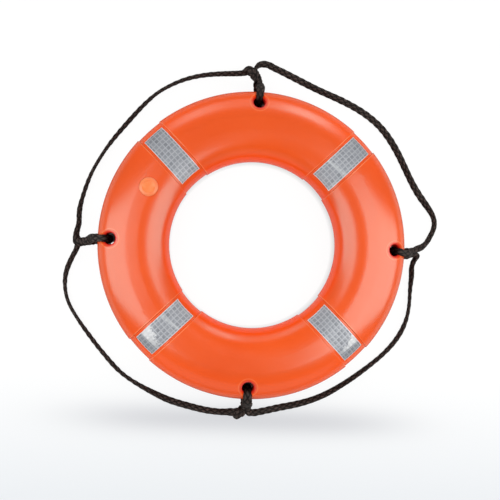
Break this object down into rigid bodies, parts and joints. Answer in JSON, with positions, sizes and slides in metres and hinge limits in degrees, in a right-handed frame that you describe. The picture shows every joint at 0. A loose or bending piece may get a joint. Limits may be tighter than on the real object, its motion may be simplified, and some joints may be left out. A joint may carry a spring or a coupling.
{
  "type": "life ring",
  "caption": "Moulded orange life ring filled with foam, with silver reflective tapes and a black braided grab line looped through holes near its rim.",
  "frame": {"origin": "middle of the ring's axis, at the level of the back face that the ring rests on", "axes": "+Z along the ring's axis, out of the front face that carries the filler plug; +Y towards the top hitch, as the picture has it; +X towards the right hitch"},
  "size_m": [0.7577, 0.7352, 0.0984],
  "materials": {
    "orange_polyethylene": "orange moulded polyethylene with a soft sheen",
    "pale_orange_plug": "pale orange moulded plug",
    "cream_foam": "cream closed-cell polyurethane foam",
    "silver_reflective_tape": "silver retroreflective tape with a fine grid of cells",
    "black_braided_rope": "black braided polypropylene rope"
  },
  "bodies": {
    "root": {"ring_shell": "orange_polyethylene", "foam_core": "cream_foam", "filler_plug": "pale_orange_plug", "reflective_tape_front_upper_right": "silver_reflective_tape", "reflective_tape_front_upper_left": "silver_reflective_tape", "reflective_tape_front_lower_left": "silver_reflective_tape", "reflective_tape_front_lower_right": "silver_reflective_tape", "reflective_tape_back_upper_right": "silver_reflective_tape", "reflective_tape_back_upper_left": "silver_reflective_tape", "reflective_tape_back_lower_left": "silver_reflective_tape", "reflective_tape_back_lower_right": "silver_reflective_tape", "grab_line_hitch_top": "black_braided_rope", "grab_line_hitch_left": "black_braided_rope", "grab_line_hitch_bottom": "black_braided_rope", "grab_line_hitch_right": "black_braided_rope", "grab_line_span_top_left": "black_braided_rope", "grab_line_span_bottom_left": "black_braided_rope", "grab_line_span_bottom_right": "black_braided_rope", "grab_line_span_top_right": "black_braided_rope", "grab_line_tail": "black_braided_rope"}
  },
  "joints": []
}
